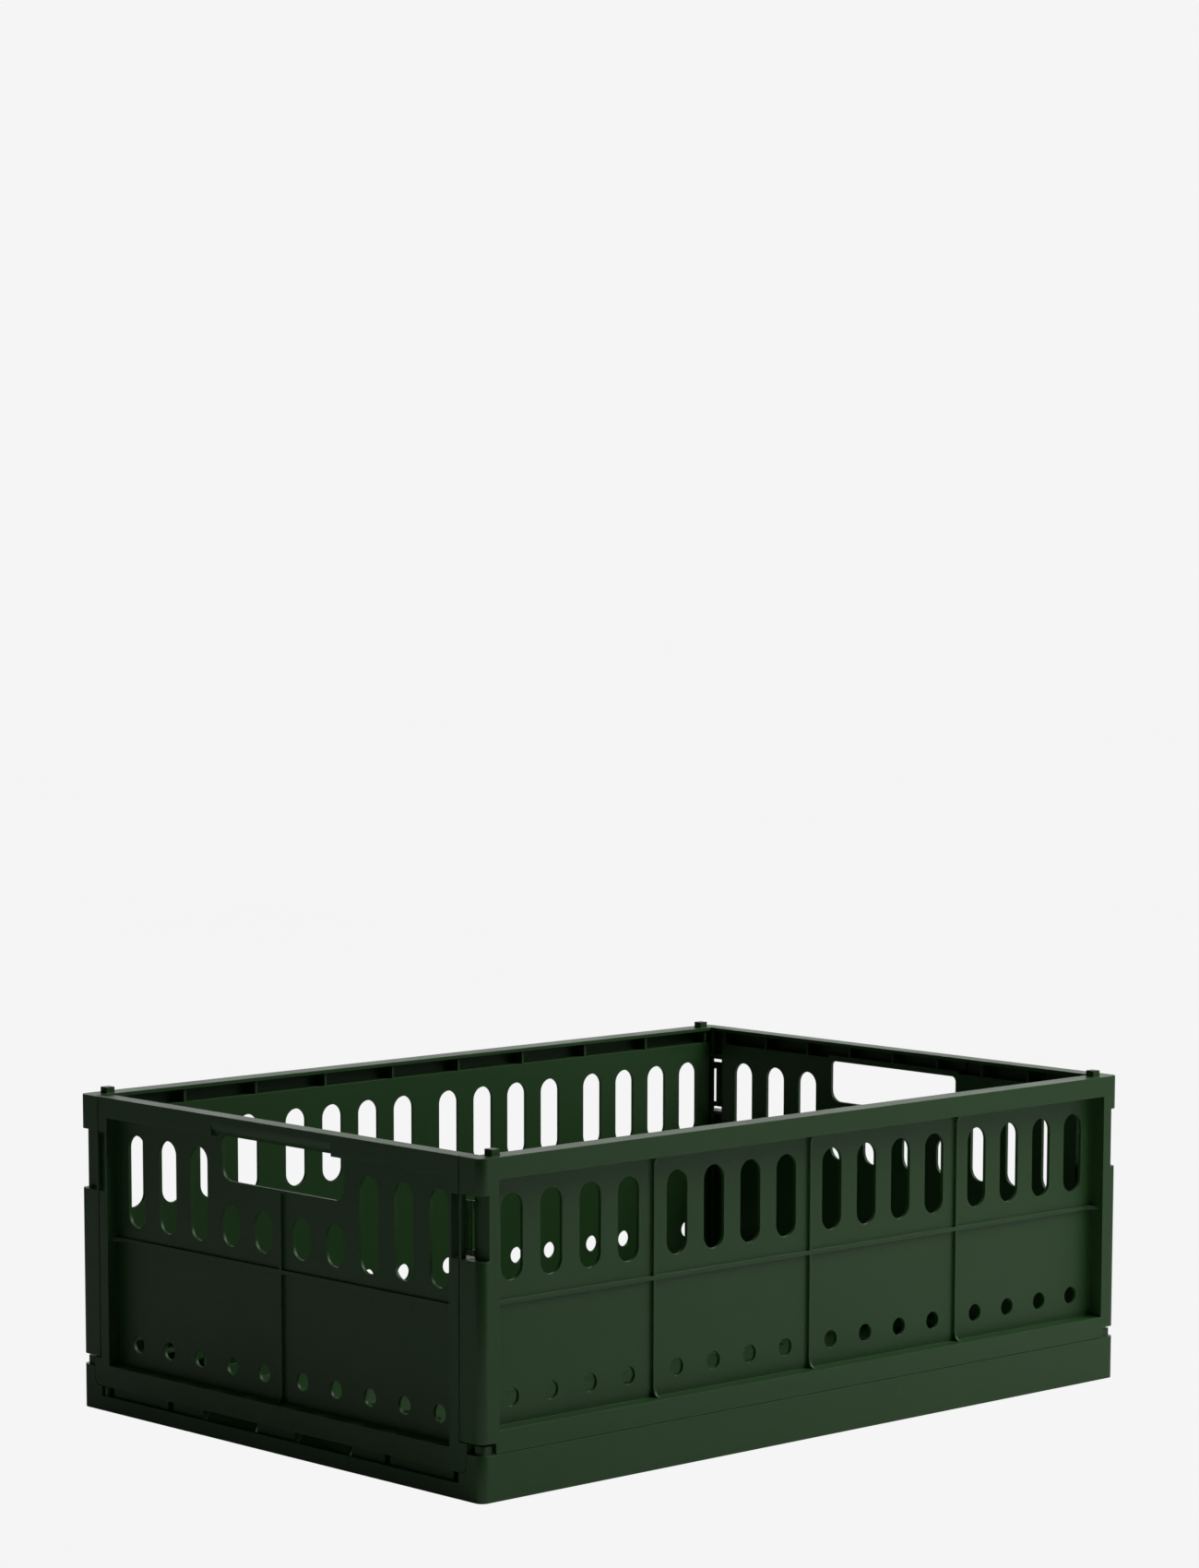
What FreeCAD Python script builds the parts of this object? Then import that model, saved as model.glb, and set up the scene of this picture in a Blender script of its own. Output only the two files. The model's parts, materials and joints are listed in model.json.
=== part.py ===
"""Collapsible storage crate: a base tray, two long walls that wrap round the corners
and two short walls that hinge inward between them.

Frame: millimetres, +Z up, +X along the crate's length, origin at the middle of the
underside.  A wall is built in a frame of its own, with x along the wall, y as the depth
behind its outer face and z up, and its last feature's Placement carries it to its side.
"""
import FreeCAD, Part
import os
import re

SHEET = "crate"

DIMENSIONS = {
    # overall size
    "length": 480.0, "width": 331.0, "rim_top": 173.2, "corner_radius": 4.5,
    "skin": 2.0, "gap": 0.3, "through": 1.0,
    # rails, shared by the walls
    "rim_flange_bottom": 171.2, "rail_top_bottom": 162.0, "rail_channel_bottom": 163.8,
    "gusset": 1.5, "slot_width": 14.7, "hole_diameter": 9.6,
    "rib_width": 1.7, "level_rib_width": 2.2, "rib_height": 1.6, "flare": 5.0,
    # long walls
    "long_depth": 11.0, "long_flange_depth": 12.2, "long_bottom": 24.3,
    "long_recess_half": 228.0, "long_recess_bottom": 36.0, "long_recess_depth": 9.0,
    "long_slot_bottom": 108.6, "long_slot_top": 152.8, "long_hole_height": 49.4,
    "long_rib_height": 98.4, "long_gusset_pitch": 25.15,
    "return_depth": 16.3, "return_skin": 2.5, "return_bottom": 29.5,
    "notch_half": 230.0, "notch_top": 29.8,
    "window_bottom": 121.7, "window_top": 154.5, "window_half": 234.4, "strip_front": 14.9,
    "shelf_front": 9.3, "shelf_back": 10.9, "shelf_end": 236.8,
    "latch_bottom": 123.6, "frame_bottom": 126.6, "frame_top": 147.0, "latch_top": 151.2,
    "post_cavity_wall": 3.0, "peg": 5.5, "peg_height": 3.3, "peg_inset": 13.8, "peg_depth": 7.2,
    # short walls
    "short_half": 148.5, "short_depth": 9.9, "short_flange_depth": 10.3, "short_bottom": 13.8,
    "short_recess_half": 141.3, "short_recess_bottom": 25.6, "short_recess_depth": 7.9,
    "side_flange_half": 153.0, "side_flange_front": 2.8,
    "ear_half": 154.2, "ear_top": 29.2, "ear_radius": 5.0,
    "short_slot_bottom": 102.8, "short_slot_top": 153.4, "under_grip_slot_top": 125.2,
    "short_hole_height": 38.9, "short_rib_height": 95.2, "short_gusset_pitch": 35.3,
    "handle_half": 50.3, "handle_bottom": 137.8, "handle_radius": 7.0, "handle_top_radius": 3.0,
    "grip_half": 49.5, "grip_radius": 7.5, "grip_skin": 3.2, "grip_lift": 1.5,
    "pocket_inner": 143.2, "pocket_top": 154.0,
    "latch_neck": 148.2, "latch_inner": 149.5, "latch_edge": 1.3, "latch_thickness": 1.5,
    "latch_dish": 0.8,
    # hinges
    "long_pin_depth": 6.9, "long_pin_height": 19.1, "long_pin_radius": 2.0,
    "long_knuckle_radius": 3.0, "long_knuckle_half": 7.0,
    "short_pin_depth": 5.7, "short_pin_height": 8.0, "short_pin_radius": 1.4,
    "short_knuckle_radius": 2.85,
    "lip_front": 1.3, "lip_bottom": 5.7, "lip_thickness": 1.4, "lip_length": 8.2,
    "bracket": 2.4, "bracket_half": 3.0, "bore_clearance": 0.1, "snap_gap": 3.0, "short_snap_gap": 2.2,
    # base tray
    "floor_top": 2.4, "base_top": 24.0, "short_rim_top": 8.2, "corner_step_top": 13.5,
    "corner_step_half": 148.0, "corner_half": 154.6, "base_skin": 2.2, "end_skin": 2.4,
    "inner_wall_half": 154.6, "inner_wall": 1.6, "inner_wall_top": 12.0,
    "long_bracket_top": 23.0, "short_bracket_top": 11.5,
    "stub_top": 28.5, "stub_inset": 2.4, "stub_side_inset": 1.6, "stub_size": 7.4,
    "stub_radius": 1.8, "socket": 6.6,
    "floor_slot_length": 40.0, "floor_slot_width": 9.0,
}

LONG_SLOTS = (17.3, 44.0, 70.6, 97.3, 131.7, 158.3, 185.0, 211.6)
LONG_RIBS = (-114.4, 0.0, 114.4)
LONG_GUSSETS = (1, 3, 5, 7, 9)
LONG_HINGES = (-171.0, -57.0, 57.0, 171.0)
SHORT_SLOTS = (15.8, 43.05, 70.3, 97.5, 124.8)
SHORT_GUSSETS = (-4, -3, -2, -1, 0, 1, 2, 3, 4)
SHORT_KNUCKLES = ((-15.7, 15.7), (61.6, 88.0), (92.2, 141.0), (144.7, 146.8))
SHORT_BRACKETS = (90.1, 142.85)
LIP_SPAN = (19.0, 58.6)
LIP_TILT = 30.0
FLOOR_COLUMNS = (-192, -144, -96, -48, 0, 48, 96, 144, 192)
FLOOR_ROWS = (-75, -50, -25, 0, 25, 50, 75)

doc = FreeCAD.newDocument("collapsible_crate")
sheet = doc.addObject("Spreadsheet::Sheet", SHEET)
for row, (alias, value) in enumerate(DIMENSIONS.items(), start=1):
    sheet.set("A%d" % row, alias)
    sheet.set("B%d" % row, str(value))
    sheet.setAlias("B%d" % row, alias)
doc.recompute()


def bound(text):
    """An expression in which every word is an alias of the sheet."""
    return re.sub(r"[a-z][a-z_]*", lambda word: SHEET + "." + word.group(0), str(text))


def bind(feature, **expressions):
    """Bind properties; an underscore in a name stands for a dot (Placement_Base_x)."""
    for name, text in expressions.items():
        feature.setExpression(name.replace("_", "."), bound(text))
    return feature


def box(name, low, high):
    """A box between two corners, each a triple of expressions."""
    feature = doc.addObject("Part::Box", name)
    sizes = ["(%s) - (%s)" % (end, start) for start, end in zip(low, high)]
    return bind(feature, Length=sizes[0], Width=sizes[1], Height=sizes[2],
                Placement_Base_x=low[0], Placement_Base_y=low[1], Placement_Base_z=low[2])


TURNS = {
    "x": FreeCAD.Rotation(FreeCAD.Vector(0, 1, 0), 90),
    "y": FreeCAD.Rotation(FreeCAD.Vector(1, 0, 0), -90),
    "z": FreeCAD.Rotation(),
}


def rod(name, start, direction, radius, length):
    """A cylinder that starts at a point and runs along +x, +y or +z."""
    feature = doc.addObject("Part::Cylinder", name)
    feature.Placement.Rotation = TURNS[direction]
    return bind(feature, Radius=radius, Height=length, Placement_Base_x=start[0],
                Placement_Base_y=start[1], Placement_Base_z=start[2])


def fuse(name, pieces):
    feature = doc.addObject("Part::MultiFuse", name)
    feature.Shapes = pieces
    feature.Refine = True
    return feature


def cut(name, base, tools):
    """Base minus every tool; many tools are gathered in one compound first."""
    gathered = doc.addObject("Part::Compound", name + "_tools")
    gathered.Links = tools
    feature = doc.addObject("Part::Cut", name)
    feature.Base = base
    feature.Tool = gathered
    return feature


def common(name, first, second):
    feature = doc.addObject("Part::Common", name)
    feature.Base = first
    feature.Tool = second
    return feature


def fillet_vertical(name, base, radius, wanted):
    """Fillet the edges parallel to z whose middle satisfies a test."""
    doc.recompute()
    feature = doc.addObject("Part::Fillet", name)
    feature.Base = base
    edges = []
    for number, edge in enumerate(base.Shape.Edges, start=1):
        middle = edge.CenterOfMass
        if abs(edge.tangentAt(edge.FirstParameter).z) > 0.999 and wanted(middle):
            edges.append((number, radius, radius))
    feature.Edges = edges
    return feature


def slot(name, centre, width, bottom, top, front, back):
    """A round-ended upright slot that is cut through a panel."""
    radius = "%s / 2" % width
    thick = "(%s) - (%s)" % (back, front)
    shaft = box(name + "_shaft", ("%s - %s" % (centre, radius), front, "%s + %s" % (bottom, radius)),
                ("%s + %s" % (centre, radius), back, "%s - %s" % (top, radius)))
    low = rod(name + "_low", (centre, front, "%s + %s" % (bottom, radius)), "y", radius, thick)
    high = rod(name + "_high", (centre, front, "%s - %s" % (top, radius)), "y", radius, thick)
    return fuse(name, [shaft, low, high])


def hole(name, centre, height, front, back):
    return rod(name, (centre, front, height), "y", "hole_diameter / 2",
               "(%s) - (%s)" % (back, front))


def mirrored(values):
    """Each value with its mirror image, from left to right."""
    return [-value for value in reversed(values)] + list(values)


def ends(near, far, sign):
    """A span beyond the middle, on the positive side or mirrored to the negative one."""
    return (near, far) if sign > 0 else ("-(%s)" % far, "-(%s)" % near)


def rib_flare(name, end, direction, floor_face, upright, centre, width="rib_width"):
    """The concave fillet at a rib's end; direction is the way from the end to the rib."""
    face = "%s - rib_height" % floor_face
    front = "%s - flare" % face
    along = ("%s" % end, "%s + flare" % end) if direction > 0 else ("%s - flare" % end, "%s" % end)
    round_at = along[1] if direction > 0 else along[0]
    low, high = "%s - %s / 2" % (centre, width), "%s + %s / 2" % (centre, width)
    if upright:
        block = box(name + "_block", (low, front, along[0]), (high, face, along[1]))
        scoop = rod(name + "_scoop", (low, front, round_at), "x", "flare", width)
    else:
        block = box(name + "_block", (along[0], front, low), (along[1], face, high))
        scoop = rod(name + "_scoop", (round_at, front, low), "z", "flare", width)
    return cut(name, block, [scoop])


def channel_bays(name, half, stations, pitch, front, back, bottom, top):
    """Open bays of a rail's inner channel, between gussets at stations times the pitch."""
    edges = ["%s * %s" % (station, pitch) for station in stations]
    starts = ["-(%s)" % half] + ["%s + gusset / 2" % edge for edge in edges]
    stops = ["%s - gusset / 2" % edge for edge in edges] + [half]
    bays = []
    for number, (start, end) in enumerate(zip(starts, stops)):
        bays.append(box("%s_%d" % (name, number), (start, front, bottom), (end, back, top)))
    return bays


def rounded_plan(name, low, high, wanted):
    """A block whose chosen upright edges have the crate's corner radius."""
    block = box(name + "_block", low, high)
    return fillet_vertical(name, block, DIMENSIONS["corner_radius"], wanted)


def window_shelves(name, sign):
    """Two narrow shelves that cross the corner window of a long wall and hold the latch."""
    near, far = ends("window_half - skin / 2", "shelf_end", sign)
    return [box("%s_%s" % (name, part), (near, "shelf_front", bottom), (far, "shelf_back", top))
            for part, bottom, top in (("low", "latch_bottom", "frame_bottom"),
                                      ("high", "frame_top", "latch_top"))]


def long_wall(name, placement):
    """Top rail, posts and bottom rail round a thin perforated panel, with corner returns."""
    half, inside = "length / 2", "long_depth + through"
    solids = [
        box(name + "_block", ("-(%s)" % half, "0", "long_bottom"), (half, "long_depth", "rim_flange_bottom")),
        box(name + "_rim", ("-(%s)" % half, "0", "rim_flange_bottom"), (half, "long_flange_depth", "rim_top")),
        box(name + "_return_left", ("-(%s)" % half, "0", "return_bottom"),
            ("return_skin - %s" % half, "return_depth", "rim_top")),
        box(name + "_return_right", ("%s - return_skin" % half, "0", "return_bottom"),
            (half, "return_depth", "rim_top")),
    ]
    mass = fuse(name + "_mass", solids)
    cuts = [box(name + "_recess", ("-long_recess_half", "-through", "long_recess_bottom"),
                ("long_recess_half", "long_recess_depth", "rail_top_bottom"))]
    stations = mirrored(LONG_GUSSETS)
    cuts += channel_bays(name + "_top_bay", "length / 2 - return_skin - skin", stations,
                         "long_gusset_pitch", "post_cavity_wall", inside,
                         "rail_channel_bottom", "rim_flange_bottom")
    cuts += channel_bays(name + "_bottom_bay", "long_recess_half", stations, "long_gusset_pitch", "skin",
                         inside, "long_bottom + skin", "long_recess_bottom - skin")
    for number, centre in enumerate(mirrored(LONG_SLOTS)):
        cuts.append(slot("%s_slot_%d" % (name, number), centre, "slot_width", "long_slot_bottom",
                         "long_slot_top", "long_recess_depth - through", inside))
        cuts.append(hole("%s_hole_%d" % (name, number), centre, "long_hole_height",
                         "long_recess_depth - through", inside))
    for side, sign in (("left", -1), ("right", 1)):
        cuts += corner_cuts("%s_%s" % (name, side), sign, inside)
    carved = cut(name + "_carved", mass, cuts)
    additions = [carved] + rib_set(name, LONG_RIBS, "long_rib_height", "long_recess_half",
                                   "long_recess_bottom", "rail_top_bottom", "long_recess_depth")
    for side, sign in (("left", -1), ("right", 1)):
        additions += window_shelves("%s_shelf_%s" % (name, side), sign)
        centre = "%d * (%s - peg_inset)" % (sign, half)
        additions.append(box("%s_peg_%s" % (name, side),
                             ("%s - peg / 2" % centre, "peg_depth - peg / 2", "rim_top"),
                             ("%s + peg / 2" % centre, "peg_depth + peg / 2", "rim_top + peg_height")))
    for number, station in enumerate(LONG_HINGES):
        additions += long_knuckle("%s_knuckle_%d" % (name, number), station)
    joined = fuse(name + "_joined", additions)
    plan = rounded_plan(name + "_plan", ("-(%s)" % half, "0", "0"), (half, "40", "rim_top + 20"),
                        lambda point: point.y < 1)
    wall = common(name, joined, plan)
    wall.Placement = placement
    return wall


def corner_cuts(name, sign, inside):
    """The hollow post, latch window and lower notch at one end of a long wall."""
    beyond = "length / 2 + through"
    post = ends("long_recess_half + skin", "length / 2 - post_cavity_wall", sign)
    beside = ends("long_recess_half + skin", "window_half - skin", sign)
    window = ends("window_half", beyond, sign)
    wrap = ends("length / 2 - return_skin", beyond, sign)
    notch = ends("notch_half", beyond, sign)
    return [
        box(name + "_post_low", (post[0], "post_cavity_wall", "notch_top + skin"),
            (post[1], inside, "window_bottom - skin")),
        box(name + "_post_beside", (beside[0], "post_cavity_wall", "window_bottom"),
            (beside[1], inside, "window_top")),
        box(name + "_post_high", (post[0], "post_cavity_wall", "window_top + skin"),
            (post[1], inside, "rail_top_bottom")),
        box(name + "_window", (window[0], "-through", "window_bottom"), (window[1], inside, "window_top")),
        box(name + "_window_wrap", (wrap[0], "-through", "window_bottom"),
            (wrap[1], "strip_front", "window_top")),
        box(name + "_notch", (notch[0], "-through", "long_bottom - through"),
            (notch[1], "return_depth", "notch_top")),
    ]


def rib_set(name, centres, height, half, bottom, top, floor_face):
    """Upright and level stiffening ribs on the panel, each flared at its ends."""
    front = "%s - rib_height" % floor_face
    level = "level_rib_width"
    ribs = [box(name + "_rib_level", ("-(%s)" % half, front, "%s - %s / 2" % (height, level)),
                (half, floor_face, "%s + %s / 2" % (height, level))),
            rib_flare(name + "_flare_left", "-(%s)" % half, 1, floor_face, False, height, level),
            rib_flare(name + "_flare_right", half, -1, floor_face, False, height, level)]
    for number, centre in enumerate(centres):
        label = "%s_rib_%d" % (name, number)
        ribs.append(box(label, ("%s - rib_width / 2" % centre, front, bottom),
                        ("%s + rib_width / 2" % centre, floor_face, top)))
        ribs.append(rib_flare(label + "_foot", bottom, 1, floor_face, True, centre))
        ribs.append(rib_flare(label + "_head", top, -1, floor_face, True, centre))
    return ribs


def long_knuckle(name, station):
    """A lug under the bottom rail with a pin stub at each end."""
    start, end = "%s - long_knuckle_half" % station, "%s + long_knuckle_half" % station
    reach = "long_knuckle_half + gap + bracket"
    return [
        box(name + "_lug", (start, "long_pin_depth - long_knuckle_radius", "long_pin_height"),
            (end, "long_pin_depth + long_knuckle_radius", "long_bottom + skin")),
        rod(name + "_barrel", (start, "long_pin_depth", "long_pin_height"), "x",
            "long_knuckle_radius", "2 * long_knuckle_half"),
        rod(name + "_pin", ("%s - (%s)" % (station, reach), "long_pin_depth", "long_pin_height"),
            "x", "long_pin_radius", "2 * (%s)" % reach),
    ]


def short_wall(name, placement):
    """Like a long wall, with a hand hole under a rounded grip and a hinge along its foot."""
    inside = "short_flange_depth + through"
    solids = [
        box(name + "_block", ("-short_half", "0", "short_bottom"),
            ("short_half", "short_depth", "rim_flange_bottom")),
        box(name + "_rim", ("-short_half", "0", "rim_flange_bottom"),
            ("short_half", "short_flange_depth", "rim_top")),
        box(name + "_flange", ("-side_flange_half", "side_flange_front", "short_bottom"),
            ("side_flange_half", "short_depth", "rim_top")),
        ear_plate(name + "_ears"),
    ]
    mass = fuse(name + "_mass", solids)
    cuts = [box(name + "_recess", ("-short_recess_half", "-through", "short_recess_bottom"),
                ("short_recess_half", "short_recess_depth", "rail_top_bottom"))]
    cuts += short_channels(name, inside)
    for number, centre in enumerate(mirrored(SHORT_SLOTS)):
        top = "under_grip_slot_top" if abs(centre) < DIMENSIONS["handle_half"] else "short_slot_top"
        cuts.append(slot("%s_slot_%d" % (name, number), centre, "slot_width", "short_slot_bottom",
                         top, "short_recess_depth - through", inside))
        cuts.append(hole("%s_hole_%d" % (name, number), centre, "short_hole_height",
                         "short_recess_depth - through", inside))
    cuts.append(hand_hole(name + "_hand_hole", inside))
    cuts.append(grip_round(name + "_grip_round"))
    for side, sign in (("left", -1), ("right", 1)):
        near, far = ends("pocket_inner", "side_flange_half + through", sign)
        cuts.append(box("%s_pocket_%s" % (name, side), (near, "-through", "window_bottom"),
                        (far, inside, "pocket_top")))
    carved = cut(name + "_carved", mass, cuts)
    ribs = rib_set(name, (0,), "short_rib_height", "short_recess_half", "short_recess_bottom",
                   "handle_bottom - skin", "short_recess_depth")
    latches = latch("%s_latch_left" % name, -1) + latch("%s_latch_right" % name, 1)
    joined = fuse(name, [carved] + ribs[:-1] + latches + short_knuckles(name))
    joined.Placement = placement
    return joined


def ear_plate(name):
    """The widened foot of a short wall, with rounded lower corners."""
    plate = box(name + "_plate", ("-ear_half", "0", "short_bottom + ear_radius"),
                ("ear_half", "short_depth", "ear_top"))
    foot = box(name + "_foot", ("-(ear_half - ear_radius)", "0", "short_bottom"),
               ("ear_half - ear_radius", "short_depth", "short_bottom + ear_radius"))
    rounds = []
    for side, centre in (("left", "-(ear_half - ear_radius)"), ("right", "ear_half - ear_radius")):
        rounds.append(rod("%s_%s" % (name, side), (centre, "0", "short_bottom + ear_radius"),
                          "y", "ear_radius", "short_depth"))
    return fuse(name, [plate, foot] + rounds)


def latch(name, sign):
    """A springy plate on a narrow neck, which snaps into the corner window beside it."""
    front, back = "side_flange_front", "side_flange_front + latch_thickness"
    near, far = ends("latch_neck", "latch_inner", sign)
    neck = box(name + "_neck", (near, front, "window_bottom - through"), (far, back, "pocket_top + through"))
    near, far = ends("latch_inner", "ear_half", sign)
    blank = box(name + "_blank", (near, front, "latch_bottom"), (far, back, "latch_top"))
    near, far = ends("latch_inner + latch_edge", "ear_half - latch_edge / 2", sign)
    dish = box(name + "_dish", (near, "%s - through" % front, "frame_bottom"),
               (far, "%s + latch_dish" % front, "frame_top"))
    return [neck, cut(name + "_plate", blank, [dish])]


def short_channels(name, inside):
    """The inner channels of a short wall's rails and side posts."""
    pitch, handle_zone = "short_gusset_pitch", "handle_half + skin"
    bays = channel_bays(name + "_bottom_bay", "short_recess_half", SHORT_GUSSETS[1:-1], pitch, "skin",
                        inside, "short_bottom + skin", "short_recess_bottom - skin")
    bays += channel_bays(name + "_grip_bay", "2 * %s - gusset / 2" % pitch, (-1, 0, 1), pitch,
                         "grip_skin", inside, "rail_channel_bottom + grip_lift", "rim_flange_bottom")
    steps = [("%s" % handle_zone, "2 * %s" % pitch)]
    steps += [("%d * %s + gusset / 2" % (step, pitch), "%d * %s" % (step + 1, pitch)) for step in (2, 3)]
    for side, sign in (("left", -1), ("right", 1)):
        for number, (start, gusset) in enumerate(steps):
            near, far = ends(start, "%s - gusset / 2" % gusset, sign)
            bays.append(box("%s_top_bay_%s_%d" % (name, side, number), (near, "skin", "rail_channel_bottom"),
                            (far, inside, "rim_flange_bottom")))
        near, far = ends("short_recess_half + skin", "side_flange_half - skin", sign)
        for part, bottom, top in (("low", "short_recess_bottom + skin", "window_bottom - skin"),
                                  ("high", "window_top + skin", "rim_flange_bottom")):
            bays.append(box("%s_post_%s_%s" % (name, side, part),
                            (near, "side_flange_front + skin", bottom), (far, inside, top)))
    return bays


def hand_hole(name, inside):
    """The opening under the grip, wide at mid height, with all four corners rounded."""
    low_level = "handle_bottom + handle_radius"
    high_level = "rail_top_bottom - handle_top_radius"
    pieces = [box(name + "_middle", ("-handle_half", "-through", low_level),
                  ("handle_half", inside, high_level))]
    for part, radius, level, bottom, top in (
            ("low", "handle_radius", low_level, "handle_bottom", low_level),
            ("high", "handle_top_radius", high_level, high_level, "rail_top_bottom")):
        centre = "handle_half - %s" % radius
        pieces.append(box("%s_%s" % (name, part), ("-(%s)" % centre, "-through", bottom),
                          (centre, inside, top)))
        for sign in (-1, 1):
            pieces.append(rod("%s_%s_%d" % (name, part, sign + 1), ("%d * (%s)" % (sign, centre), "-through",
                              level), "y", radius, "through + %s" % inside))
    return fuse(name, pieces)


def grip_round(name):
    """What is taken off the rail's lower front edge to make a quarter-round grip."""
    corner = box(name + "_corner", ("-grip_half", "-through", "rail_top_bottom - through"),
                 ("grip_half", "grip_radius", "rail_top_bottom + grip_radius"))
    bar = rod(name + "_bar", ("-grip_half", "grip_radius", "rail_top_bottom + grip_radius"), "x",
              "grip_radius", "2 * grip_half")
    return cut(name, corner, [bar])


def short_knuckles(name):
    """Hinge lugs along the foot, joined by the pins that turn in the base's brackets."""
    pieces = []
    spans = [SHORT_KNUCKLES[0]]
    for near, far in SHORT_KNUCKLES[1:]:
        spans += [(near, far), (-far, -near)]
    for number, (start, end) in enumerate(spans):
        label = "%s_knuckle_%d" % (name, number)
        pieces.append(box(label + "_lug",
                          (start, "short_pin_depth - short_knuckle_radius", "short_pin_height"),
                          (end, "short_pin_depth + short_knuckle_radius", "short_bottom + skin / 2")))
        pieces.append(rod(label + "_barrel", (start, "short_pin_depth", "short_pin_height"), "x",
                          "short_knuckle_radius", end - start))
    for number, centre in enumerate(mirrored(SHORT_BRACKETS)):
        pieces.append(rod("%s_pin_%d" % (name, number), ("%s - bracket" % centre, "short_pin_depth",
                          "short_pin_height"), "x", "short_pin_radius", "2 * bracket"))
    return pieces


def base_tray(name):
    """Perforated floor, rim, corner upstands, hinge channels and stacking sockets."""
    x_half, y_half = "length / 2", "width / 2"
    block = box(name + "_block", ("-(%s)" % x_half, "-(%s)" % y_half, "0"),
                (x_half, y_half, "base_top"))
    plan = fillet_vertical(name + "_plan", block, DIMENSIONS["corner_radius"], lambda point: True)
    hollow = [box(name + "_hollow", ("-(%s - end_skin)" % x_half, "-inner_wall_half", "floor_top"),
                  ("%s - end_skin" % x_half, "inner_wall_half", "base_top + through"))]
    for side, sign in (("front", -1), ("back", 1)):
        span = ends("inner_wall_half + inner_wall", "%s - base_skin" % y_half, sign)
        hollow.append(box("%s_channel_%s" % (name, side),
                          ("-(%s - skin - base_skin)" % x_half, span[0], "floor_top"),
                          ("%s - skin - base_skin" % x_half, span[1], "base_top + through")))
        span = ends("inner_wall_half - through", "inner_wall_half + inner_wall + through", sign)
        hollow.append(box("%s_lip_%s" % (name, side), ("-notch_half", span[0], "inner_wall_top"),
                          ("notch_half", span[1], "base_top + through")))
    for side, sign in (("left", -1), ("right", 1)):
        span = ends("%s - skin - through" % x_half, "%s + through" % x_half, sign)
        hollow.append(box("%s_rim_%s" % (name, side), (span[0], "-corner_step_half", "short_rim_top"),
                          (span[1], "corner_step_half", "base_top + through")))
        hollow.append(ear_seat("%s_seat_%s" % (name, side), span))
    hollow += floor_openings(name)
    tray = cut(name + "_tray", plan, hollow)
    additions = [tray] + corner_stubs(name)
    for sign, side in ((-1, "front"), (1, "back")):
        additions.append(long_brackets("%s_%s" % (name, side), sign))
    for turn, side in ((0, "left"), (180, "right")):
        additions.append(short_brackets("%s_%s" % (name, side), turn))
    return fuse(name, additions)


def ear_seat(name, span):
    """The rounded seat that a short wall's ears drop into, above the corner step."""
    centre, height = "corner_half - ear_radius", "corner_step_top + ear_radius"
    upper = box(name + "_upper", (span[0], "-corner_half", height),
                (span[1], "corner_half", "base_top + through"))
    lower = box(name + "_lower", (span[0], "-(%s)" % centre, "corner_step_top"),
                (span[1], centre, height))
    rounds = []
    for side, place in (("front", "-(%s)" % centre), ("back", centre)):
        rounds.append(rod("%s_%s" % (name, side), (span[0], place, height), "x", "ear_radius",
                          "%s - (%s)" % (span[1], span[0])))
    return fuse(name, [upper, lower] + rounds)


def floor_openings(name):
    """Drain slots in the floor and the four sockets that take the pegs of a crate below."""
    openings = []
    for column in FLOOR_COLUMNS:
        for line in FLOOR_ROWS:
            label = "%s_drain_%d_%d" % (name, FLOOR_COLUMNS.index(column), FLOOR_ROWS.index(line))
            reach = "floor_slot_length / 2 - floor_slot_width / 2"
            shaft = box(label + "_shaft", ("%s - (%s)" % (column, reach), "%s - floor_slot_width / 2" % line,
                        "-through"), ("%s + %s" % (column, reach), "%s + floor_slot_width / 2" % line,
                                      "floor_top + through"))
            caps = [rod("%s_cap_%d" % (label, side), ("%s + %d * (%s)" % (column, side, reach), str(line),
                        "-through"), "z", "floor_slot_width / 2", "floor_top + 2 * through")
                    for side in (-1, 1)]
            openings.append(fuse(label, [shaft] + caps))
    for x_sign in (-1, 1):
        for y_sign in (-1, 1):
            x_centre = "%d * (length / 2 - peg_inset)" % x_sign
            y_centre = "%d * (width / 2 - peg_depth)" % y_sign
            openings.append(box("%s_socket_%d_%d" % (name, x_sign + 1, y_sign + 1),
                                ("%s - socket / 2" % x_centre, "%s - socket / 2" % y_centre, "-through"),
                                ("%s + socket / 2" % x_centre, "%s + socket / 2" % y_centre,
                                 "floor_top + through")))
    return openings


def corner_stubs(name):
    """A short rounded post on each corner of the rim, seen in the notch above it."""
    stubs = []
    for x_sign in (-1, 1):
        for y_sign in (-1, 1):
            x_far, y_far = "length / 2 - stub_inset", "width / 2 - stub_side_inset"
            x_span = ends("%s - stub_size" % x_far, x_far, x_sign)
            y_span = ends("%s - stub_size" % y_far, y_far, y_sign)
            label = "%s_stub_%d_%d" % (name, x_sign + 1, y_sign + 1)
            block = box(label + "_block", (x_span[0], y_span[0], "floor_top - skin"),
                        (x_span[1], y_span[1], "stub_top"))
            stubs.append(fillet_vertical(label, block, DIMENSIONS["stub_radius"], lambda point: True))
    return stubs


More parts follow.
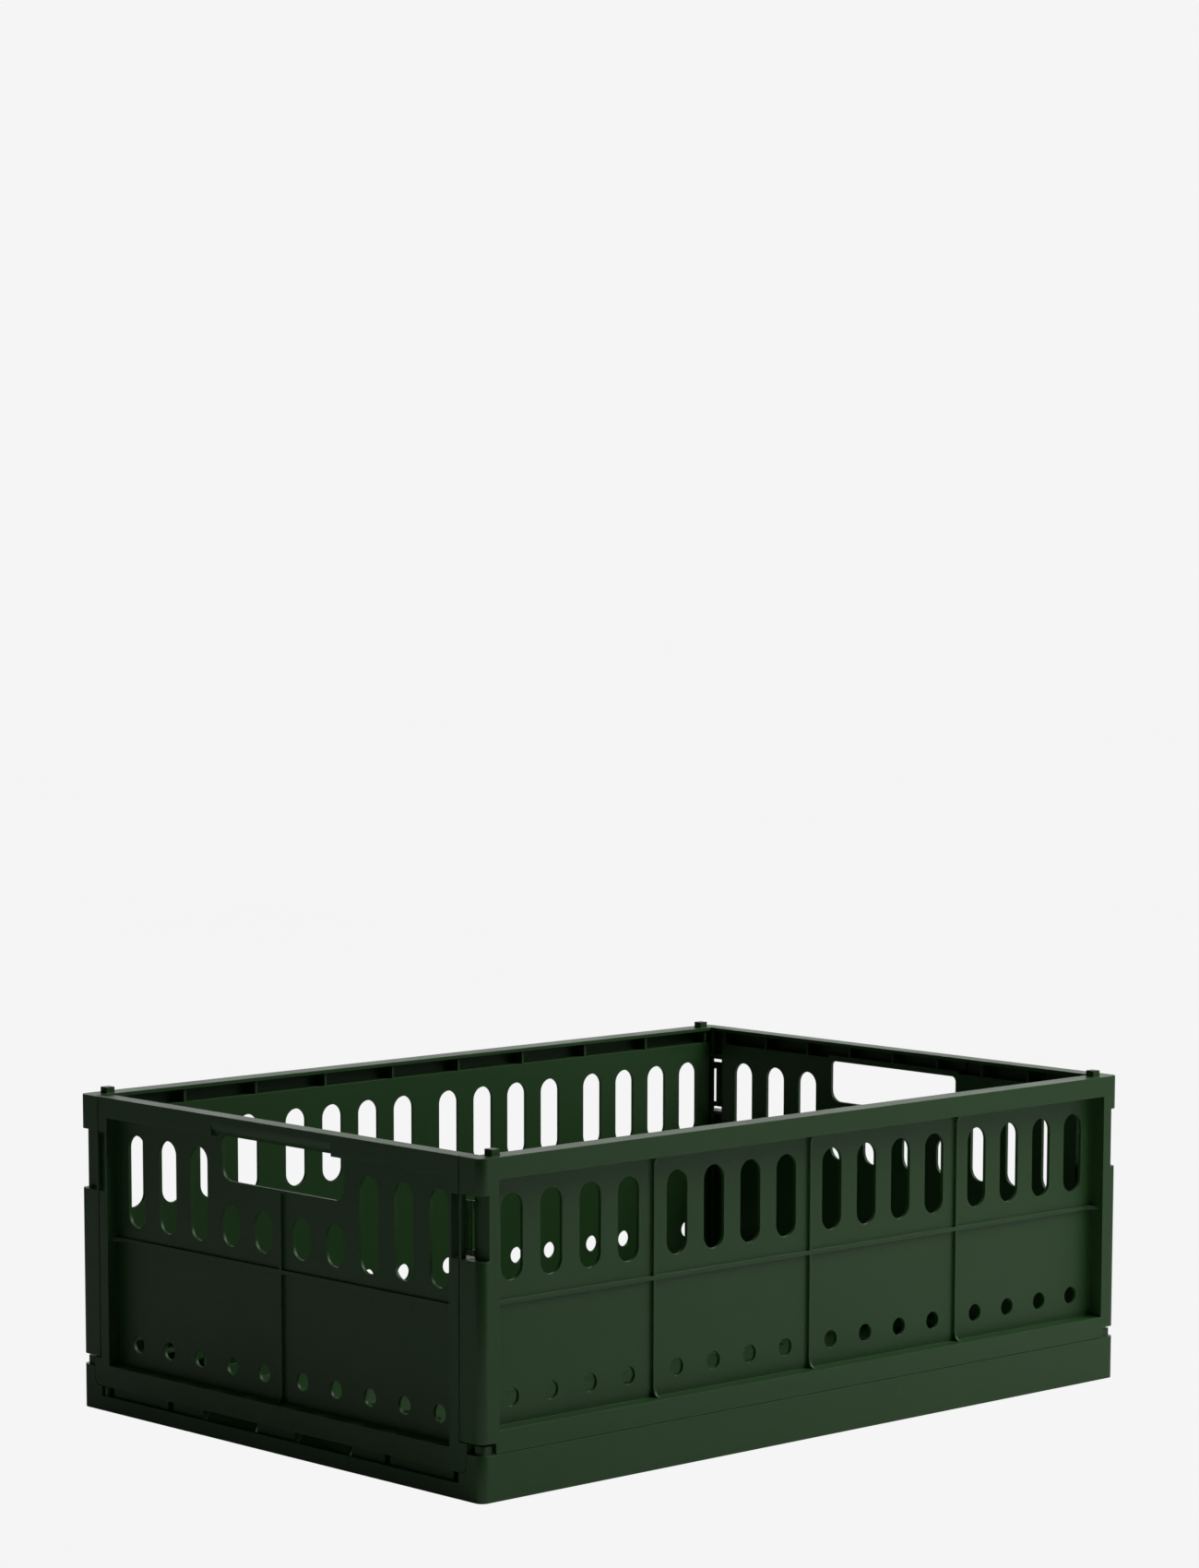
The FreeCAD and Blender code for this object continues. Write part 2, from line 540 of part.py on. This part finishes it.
def long_brackets(name, sign):
    """Pairs of upright ribs with open-topped bores for a long wall's hinge pins."""
    rib_span = ends("inner_wall_half", "width / 2 - base_skin / 2", sign)
    pin_line = "width / 2 - long_pin_depth"
    centre = "%d * (%s)" % (sign, pin_line)
    head_span = ends("%s - bracket_half" % pin_line, "width / 2 - base_skin / 2", sign)
    ribs, bores = [], []
    for number, station in enumerate(LONG_HINGES):
        for side in (-1, 1):
            middle = "%s + %d * (long_knuckle_half + gap + bracket / 2)" % (station, side)
            label = "%s_%d_%d" % (name, number, side + 1)
            start, end = "%s - bracket / 2" % middle, "%s + bracket / 2" % middle
            ribs.append(box(label + "_rib", (start, rib_span[0], "floor_top / 2"),
                            (end, rib_span[1], "inner_wall_top")))
            ribs.append(box(label + "_head", (start, head_span[0], "inner_wall_top"),
                            (end, head_span[1], "long_bracket_top")))
            bores.append(rod(label + "_bore", ("%s - through" % start, centre, "long_pin_height"), "x",
                             "long_pin_radius + bore_clearance", "bracket + 2 * through"))
            bores.append(box(label + "_snap", ("%s - through" % start, "%s - snap_gap / 2" % centre,
                             "long_pin_height"),
                             ("%s + through" % end, "%s + snap_gap / 2" % centre,
                             "long_bracket_top + through")))
    return cut(name + "_brackets", fuse(name + "_ribs", ribs), bores)


def short_brackets(name, turn):
    """Saddles open at the top and front for a short wall's pins, and slanted lips, at one end."""
    centre = "short_pin_depth - length / 2"
    low, high = "%s - bracket_half" % centre, "%s + bracket_half" % centre
    ribs, bores = [], []
    for number, station in enumerate(mirrored(SHORT_BRACKETS)):
        label = "%s_%d" % (name, number)
        start, end = "%s - bracket / 2" % station, "%s + bracket / 2" % station
        ribs.append(box(label + "_rib", (low, start, "floor_top / 2"), (high, end, "short_bracket_top")))
        bores.append(rod(label + "_bore", (centre, "%s - through" % start, "short_pin_height"), "y",
                         "short_pin_radius + bore_clearance", "bracket + 2 * through"))
        bores.append(box(label + "_snap",
                         ("%s - through" % low, "%s - through" % start, "short_pin_height"),
                         ("%s + short_snap_gap / 2" % centre, "%s + through" % end,
                          "short_bracket_top + through")))
    pieces = [cut(name + "_ribs", fuse(name + "_rib_blanks", ribs), bores)]
    front = "lip_front - length / 2"
    for side, start, end in (("near", -LIP_SPAN[1], -LIP_SPAN[0]), ("far", LIP_SPAN[0], LIP_SPAN[1])):
        lip = box("%s_lip_%s" % (name, side), (front, start, "lip_bottom"),
                  ("%s + lip_thickness" % front, end, "lip_bottom + lip_length"))
        lip.Placement.Rotation = FreeCAD.Rotation(FreeCAD.Vector(0, 1, 0), LIP_TILT)
        pieces.append(lip)
    joined = fuse(name, pieces)
    joined.Placement.Rotation = FreeCAD.Rotation(FreeCAD.Vector(0, 0, 1), turn)
    return joined


def check(feature):
    """Stop unless the whole document and this sub-part are sound."""
    broken = [item.Name for item in doc.Objects if "Invalid" in item.State or "Error" in item.State]
    if broken:
        raise RuntimeError("failed objects: %s" % broken)
    if feature.Shape.isNull() or not feature.Shape.isValid() or len(feature.Shape.Solids) != 1:
        raise RuntimeError("%s is not one sound solid" % feature.Label)


half_length, half_width = DIMENSIONS["length"] / 2, DIMENSIONS["width"] / 2
up = FreeCAD.Vector(0, 0, 1)


def at(x, y, turn):
    return FreeCAD.Placement(FreeCAD.Vector(x, y, 0), FreeCAD.Rotation(up, turn))


sub_parts = [
    base_tray("base_tray"),
    long_wall("front_long_wall", at(0, -half_width, 0)),
    long_wall("back_long_wall", at(0, half_width, 180)),
    short_wall("left_short_wall", at(-half_length, 0, -90)),
    short_wall("right_short_wall", at(half_length, 0, 90)),
]
doc.recompute()

for feature in sub_parts:
    check(feature)
os.makedirs("parts", exist_ok=True)
for feature in sub_parts:
    feature.Shape.exportStep("parts/%s.step" % feature.Label)
    print(feature.Label, round(feature.Shape.Volume / 1000, 1), "cm3")
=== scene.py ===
"""Studio scene for the collapsible storage crate.

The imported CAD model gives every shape.  This script rounds its edges, gives each moulding a
procedural injection-moulded polypropylene, and sets the camera, the floor and the lights.
"""
import json
import math
import bpy
from mathutils import Matrix, Vector

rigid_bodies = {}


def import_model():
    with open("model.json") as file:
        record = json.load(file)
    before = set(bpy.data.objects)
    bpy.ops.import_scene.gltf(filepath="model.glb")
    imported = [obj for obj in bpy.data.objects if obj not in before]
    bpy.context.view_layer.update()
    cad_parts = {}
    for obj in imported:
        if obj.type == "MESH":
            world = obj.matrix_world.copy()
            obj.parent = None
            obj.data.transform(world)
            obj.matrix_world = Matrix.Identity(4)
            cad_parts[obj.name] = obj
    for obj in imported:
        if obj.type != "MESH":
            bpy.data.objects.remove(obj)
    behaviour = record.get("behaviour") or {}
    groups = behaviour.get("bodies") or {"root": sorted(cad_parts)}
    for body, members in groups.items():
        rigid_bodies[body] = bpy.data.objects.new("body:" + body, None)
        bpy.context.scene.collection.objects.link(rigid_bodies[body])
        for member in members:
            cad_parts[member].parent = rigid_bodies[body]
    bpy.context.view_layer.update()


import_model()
scene = bpy.context.scene
scene.view_settings.view_transform = "Standard"

NODES = ("base_tray", "front_long_wall", "back_long_wall", "left_short_wall", "right_short_wall")

# every RGBA mix in this script has its factor, A and B on these sockets
MIX_FACTOR, MIX_A, MIX_B = 0, 6, 7
MIX_RESULT = 2

# ---------------------------------------------------------------- camera
SENSOR_HEIGHT = 36.0
FOCAL_LENGTH = 101.1636    # both in millimetres
SHIFT = 0.17               # of the picture's height, so that the crate sits low in it
YAW, PITCH, ROLL = 0.749851, 0.123271, 0.0016
CAMERA_PLACE = Vector((-1.656124, -1.771413, 0.492441))


def add_camera():
    """The camera, off the front left corner and looking a little down at the crate."""
    level = math.cos(PITCH)
    forward = Vector((math.sin(YAW) * level, math.cos(YAW) * level, -math.sin(PITCH)))
    right = Vector((math.cos(YAW), -math.sin(YAW), 0.0))
    up = right.cross(forward)
    rolled_right = right * math.cos(ROLL) + up * math.sin(ROLL)
    rolled_up = up * math.cos(ROLL) - right * math.sin(ROLL)
    lens = bpy.data.cameras.new("camera")
    lens.sensor_fit = "VERTICAL"
    lens.sensor_height = SENSOR_HEIGHT
    lens.lens = FOCAL_LENGTH
    lens.shift_y = SHIFT
    camera = bpy.data.objects.new("camera", lens)
    matrix = Matrix((rolled_right, rolled_up, -forward)).transposed().to_4x4()
    matrix.translation = CAMERA_PLACE
    camera.matrix_world = matrix
    scene.collection.objects.link(camera)
    scene.camera = camera


# ---------------------------------------------------------------- materials
class Nodes:
    """A small helper that adds and links shader nodes."""

    def __init__(self, tree):
        self.tree = tree
        tree.nodes.clear()

    def add(self, kind, **settings):
        node = self.tree.nodes.new(kind)
        for key, value in settings.items():
            if key in node.inputs:
                node.inputs[key].default_value = value
            else:
                setattr(node, key, value)
        return node

    def link(self, source, output, target, socket):
        self.tree.links.new(source.outputs[output], target.inputs[socket])


def map_range(n, source, output, *limits):
    """Maps a node's output to a new range.  The limits that aren't given stay 0 and 1."""
    mapped = n.add("ShaderNodeMapRange")
    for socket, value in limits:
        mapped.inputs[socket].default_value = value
    n.link(source, output, mapped, "Value")
    return mapped


DEEP_GREEN = (0.0230, 0.0825, 0.0181, 1)
FRESH_GREEN = (0.0246, 0.0875, 0.0194, 1)
WEAR_AND_HIGHLIGHT_GREEN = (0.044, 0.120, 0.037, 1)
SATIN_ROUGHNESS = (0.40, 0.50)
WEAR_AND_HIGHLIGHT_REACH = 0.0012                   # how far in from an edge the wear and the painted edge highlight go
POLYPROPYLENE_IOR = 1.49


def moulded_plastic(name, seed):
    """Satin polypropylene: fine spark-eroded grain, faint flow marks and paler edges, partly wear and
    partly a painted edge highlight.
    """
    material = bpy.data.materials.new(name)
    material.use_nodes = True
    n = Nodes(material.node_tree)
    place = n.add("ShaderNodeTexCoord")
    shifted = n.add("ShaderNodeMapping")
    shifted.inputs["Location"].default_value = (seed * 0.37, seed * 0.11, seed * 0.23)
    n.link(place, "Object", shifted, "Vector")

    # pigment: broad, very soft flow marks
    flow = n.add("ShaderNodeTexNoise", Scale=9.0, Detail=3.0, Roughness=0.55, Distortion=0.6)
    n.link(shifted, "Vector", flow, "Vector")
    pigment = n.add("ShaderNodeValToRGB")
    pigment.color_ramp.elements[0].position = 0.3
    pigment.color_ramp.elements[0].color = DEEP_GREEN
    pigment.color_ramp.elements[1].position = 0.7
    pigment.color_ramp.elements[1].color = FRESH_GREEN
    n.link(flow, "Fac", pigment, "Fac")

    # edges are a touch paler, in patches: partly wear, partly a painted highlight along the edges
    corner = n.add("ShaderNodeBevel", samples=4, Radius=WEAR_AND_HIGHLIGHT_REACH)
    facing = n.add("ShaderNodeNewGeometry")
    apart = n.add("ShaderNodeVectorMath", operation="DOT_PRODUCT")
    n.link(corner, "Normal", apart, 0)
    n.link(facing, "Normal", apart, 1)
    edge = map_range(n, apart, "Value", ("From Min", 0.995), ("From Max", 0.86))
    patchy = n.add("ShaderNodeTexNoise", Scale=70.0, Detail=4.0, Roughness=0.6)
    n.link(shifted, "Vector", patchy, "Vector")
    wear_and_highlight = n.add("ShaderNodeMath", operation="MULTIPLY")
    n.link(edge, "Result", wear_and_highlight, 0)
    n.link(patchy, "Fac", wear_and_highlight, 1)
    # paler edge colour: wear together with a painted edge highlight
    wear_and_highlight_mix = n.add("ShaderNodeMix", data_type="RGBA")
    wear_and_highlight_mix.inputs[MIX_B].default_value = WEAR_AND_HIGHLIGHT_GREEN
    n.link(wear_and_highlight, "Value", wear_and_highlight_mix, MIX_FACTOR)
    n.link(pigment, "Color", wear_and_highlight_mix, MIX_A)

    # satin sheen, uneven at two scales
    cloud = n.add("ShaderNodeTexNoise", Scale=26.0, Detail=4.0, Roughness=0.5)
    n.link(shifted, "Vector", cloud, "Vector")
    rough = map_range(n, cloud, "Fac", ("To Min", SATIN_ROUGHNESS[0]), ("To Max", SATIN_ROUGHNESS[1]))

    # grain: fine pits about 0.35 mm across, over faint ripples
    grain = n.add("ShaderNodeTexNoise", Scale=2600.0, Detail=2.0, Roughness=0.6)
    n.link(shifted, "Vector", grain, "Vector")
    ripple = n.add("ShaderNodeTexNoise", Scale=55.0, Detail=2.0, Roughness=0.5)
    n.link(shifted, "Vector", ripple, "Vector")
    ripple_bump = n.add("ShaderNodeBump", Strength=0.12, Distance=0.0004)
    n.link(ripple, "Fac", ripple_bump, "Height")
    grain_bump = n.add("ShaderNodeBump", Strength=0.14, Distance=0.00006)
    n.link(grain, "Fac", grain_bump, "Height")
    n.link(ripple_bump, "Normal", grain_bump, "Normal")

    shader = n.add("ShaderNodeBsdfPrincipled", IOR=POLYPROPYLENE_IOR)
    n.link(wear_and_highlight_mix, MIX_RESULT, shader, "Base Color")
    n.link(rough, "Result", shader, "Roughness")
    n.link(grain_bump, "Normal", shader, "Normal")
    output = n.add("ShaderNodeOutputMaterial")
    n.link(shader, "BSDF", output, "Surface")
    return material


# ---------------------------------------------------------------- the crate
EDGE_RADIUS = 0.00014
SAME_POINT = 0.000002      # corners closer than this are one corner
SHARP_EDGE = math.radians(50.0)


def dress(node, seed):
    """Rounds a CAD node's sharp edges and gives it its own plastic."""
    piece = bpy.data.objects[node]
    material = moulded_plastic("moulded_" + node, seed)
    for slot in piece.material_slots:
        slot.material = material
    weld = piece.modifiers.new("joined_faces", "WELD")
    weld.merge_threshold = SAME_POINT
    bevel = piece.modifiers.new("soft_edges", "BEVEL")
    bevel.width = EDGE_RADIUS
    bevel.segments = 2
    bevel.limit_method = "ANGLE"
    bevel.angle_limit = SHARP_EDGE
    bevel.use_clamp_overlap = False
    bevel.loop_slide = False
    bevel.harden_normals = True


# ---------------------------------------------------------------- stage
BACKGROUND_TONE = 0.913
TONE_SPREAD = 0.005
FLOOR_RADIUS = 14.0
FLOOR_GLOW = 0.025
SHADOW_HALF_LENGTH, SHADOW_HALF_WIDTH = 0.236, 0.161
SHADOW_TONE = (0.02, 0.024, 0.02, 1)
WHITE = (1.0, 1.0, 1.0, 1)


def add_floor():
    """A wide pale studio floor that runs into the background."""
    bpy.ops.mesh.primitive_circle_add(vertices=96, radius=FLOOR_RADIUS, fill_type="NGON")
    floor = bpy.context.object
    floor.name = "studio_floor"
    material = bpy.data.materials.new("studio_floor")
    material.use_nodes = True
    n = Nodes(material.node_tree)
    place = n.add("ShaderNodeTexCoord")
    mottle = n.add("ShaderNodeTexNoise", Scale=1.5, Detail=3.0)
    n.link(place, "Object", mottle, "Vector")
    tone = map_range(n, mottle, "Fac", ("To Min", BACKGROUND_TONE - TONE_SPREAD),
                     ("To Max", BACKGROUND_TONE + TONE_SPREAD))
    # painted shadow: the floor right under the crate is painted dark for the camera, and shows
    # through the drain slots
    spot = n.add("ShaderNodeSeparateXYZ")
    n.link(place, "Object", spot, "Vector")
    covered = []
    for axis, reach in (("X", SHADOW_HALF_LENGTH), ("Y", SHADOW_HALF_WIDTH)):
        away = n.add("ShaderNodeMath", operation="ABSOLUTE")
        n.link(spot, axis, away, 0)
        under = n.add("ShaderNodeMath", operation="LESS_THAN")
        under.inputs[1].default_value = reach
        n.link(away, "Value", under, 0)
        covered.append(under)
    shadow = n.add("ShaderNodeMath", operation="MULTIPLY")
    n.link(covered[0], "Value", shadow, 0)
    n.link(covered[1], "Value", shadow, 1)
    shaded = n.add("ShaderNodeMix", data_type="RGBA")
    shaded.inputs[MIX_B].default_value = SHADOW_TONE
    n.link(shadow, "Value", shaded, MIX_FACTOR)
    n.link(tone, "Result", shaded, MIX_A)
    glow = n.add("ShaderNodeEmission", Strength=1.0)
    n.link(shaded, MIX_RESULT, glow, "Color")
    matte = n.add("ShaderNodeBsdfDiffuse", Color=(0.8, 0.8, 0.8, 1))
    lit_from_below = n.add("ShaderNodeEmission", Color=WHITE, Strength=FLOOR_GLOW)
    table = n.add("ShaderNodeAddShader")
    n.link(matte, "BSDF", table, 0)
    n.link(lit_from_below, "Emission", table, 1)
    # the camera sees the even tone with the painted shadow under the crate, and the crate is lit by
    # the table
    path = n.add("ShaderNodeLightPath")
    choice = n.add("ShaderNodeMixShader")
    n.link(path, "Is Camera Ray", choice, 0)
    n.link(table, "Shader", choice, 1)
    n.link(glow, "Emission", choice, 2)
    output = n.add("ShaderNodeOutputMaterial")
    n.link(choice, "Shader", output, "Surface")
    floor.data.materials.append(material)


# ---------------------------------------------------------------- lights
LIGHT_AIM = Vector((0.0, 0.0, 0.09))
SURROUND_LIGHT = 0.004
SOFT_BOXES = (
    # name, degrees round from the camera's right, elevation, distance, width, height, watts
    ("key", 0, 50, 1.4, 0.95, 0.85, 10.2),
    ("back_strip", 90, 10, 2.4, 2.4, 1.0, 12.5),
    ("back_right", 45, 15, 2.4, 1.6, 1.0, 1.2),
    ("low_right", 0, 14, 1.5, 1.2, 0.9, 0.9),
    ("low_left", 195, 12, 2.4, 1.6, 1.0, 0.5),
    ("top", 0, 89, 2.0, 2.2, 2.2, 4.0),
)


def add_soft_box(name, turn, elevation, distance, width, height, watts):
    """A rectangular soft box that faces the crate and isn't seen itself."""
    round_from_x = math.radians(turn) - YAW
    level = math.cos(math.radians(elevation))
    direction = Vector((math.cos(round_from_x) * level, math.sin(round_from_x) * level,
                        math.sin(math.radians(elevation))))
    light = bpy.data.lights.new(name, "AREA")
    light.shape = "RECTANGLE"
    light.size = width
    light.size_y = height
    light.energy = watts
    box = bpy.data.objects.new(name, light)
    box.location = LIGHT_AIM + direction * distance
    box.rotation_euler = (-direction).to_track_quat("-Z", "Y").to_euler()
    box.visible_camera = False
    scene.collection.objects.link(box)


def add_world():
    """A plain pale surround, seen white and lighting the crate softly."""
    world = bpy.data.worlds.new("surround")
    scene.world = world
    world.use_nodes = True
    n = Nodes(world.node_tree)
    seen = n.add("ShaderNodeBackground", Color=(BACKGROUND_TONE,) * 3 + (1,), Strength=1.0)
    lighting = n.add("ShaderNodeBackground", Color=WHITE, Strength=SURROUND_LIGHT)
    path = n.add("ShaderNodeLightPath")
    choice = n.add("ShaderNodeMixShader")
    output = n.add("ShaderNodeOutputWorld")
    n.link(path, "Is Camera Ray", choice, 0)
    n.link(lighting, "Background", choice, 1)
    n.link(seen, "Background", choice, 2)
    n.link(choice, "Shader", output, "Surface")


add_camera()
for number, node in enumerate(NODES, start=1):
    dress(node, number)
add_floor()
add_world()
for soft_box in SOFT_BOXES:
    add_soft_box(*soft_box)
